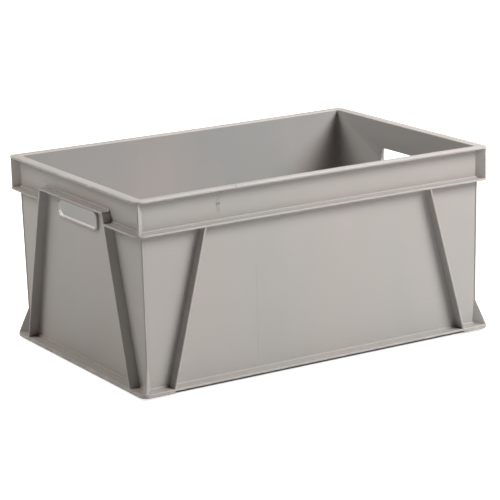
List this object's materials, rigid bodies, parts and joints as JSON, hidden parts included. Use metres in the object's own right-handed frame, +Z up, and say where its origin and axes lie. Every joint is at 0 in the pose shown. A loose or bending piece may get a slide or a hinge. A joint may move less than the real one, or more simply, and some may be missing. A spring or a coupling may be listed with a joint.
{
  "type": "stacking plastic crate",
  "caption": "Open-topped stacking transport crate, rectangular tub with flat lip, rim flange, diagonal wall ribs, base flange, stacking foot and a hand hole in each end.",
  "frame": {"origin": "on the floor under the middle of the crate", "axes": "+X along the long side towards the right end, +Y along the short side towards the back, +Z up"},
  "size_m": [0.6, 0.4, 0.285],
  "materials": {
    "polypropylene": "satin light warm grey polypropylene, fine moulded texture"
  },
  "bodies": {
    "root": {"back_wall": "polypropylene", "base_flange_back": "polypropylene", "base_flange_front": "polypropylene", "base_flange_left": "polypropylene", "base_flange_right": "polypropylene", "base_skirt_back_left": "polypropylene", "base_skirt_back_right": "polypropylene", "base_skirt_front_left": "polypropylene", "base_skirt_front_right": "polypropylene", "base_skirt_left": "polypropylene", "base_skirt_right": "polypropylene", "corner_fin_back_left": "polypropylene", "corner_fin_back_right": "polypropylene", "corner_fin_front_left": "polypropylene", "corner_fin_front_right": "polypropylene", "corner_post_back_left": "polypropylene", "corner_post_back_right": "polypropylene", "corner_post_front_left": "polypropylene", "corner_post_front_right": "polypropylene", "end_rib_back_left": "polypropylene", "end_rib_back_right": "polypropylene", "end_rib_front_left": "polypropylene", "end_rib_front_right": "polypropylene", "floor_panel": "polypropylene", "front_wall": "polypropylene", "grip_shelf_left": "polypropylene", "grip_shelf_right": "polypropylene", "hand_hole_frame_left": "polypropylene", "hand_hole_frame_right": "polypropylene", "left_wall": "polypropylene", "lip_back": "polypropylene", "lip_front": "polypropylene", "lip_left": "polypropylene", "lip_right": "polypropylene", "long_side_rib_back_left": "polypropylene", "long_side_rib_back_right": "polypropylene", "long_side_rib_front_left": "polypropylene", "long_side_rib_front_right": "polypropylene", "moulding_mark": "polypropylene", "right_wall": "polypropylene", "rim_corner_web_back_left": "polypropylene", "rim_corner_web_back_right": "polypropylene", "rim_corner_web_front_left": "polypropylene", "rim_corner_web_front_right": "polypropylene", "rim_flange_back": "polypropylene", "rim_flange_front": "polypropylene", "rim_flange_left_back": "polypropylene", "rim_flange_left_front": "polypropylene", "rim_flange_right_back": "polypropylene", "rim_flange_right_front": "polypropylene", "stacking_foot_back": "polypropylene", "stacking_foot_front": "polypropylene", "stacking_foot_left": "polypropylene", "stacking_foot_right": "polypropylene"}
  },
  "joints": []
}
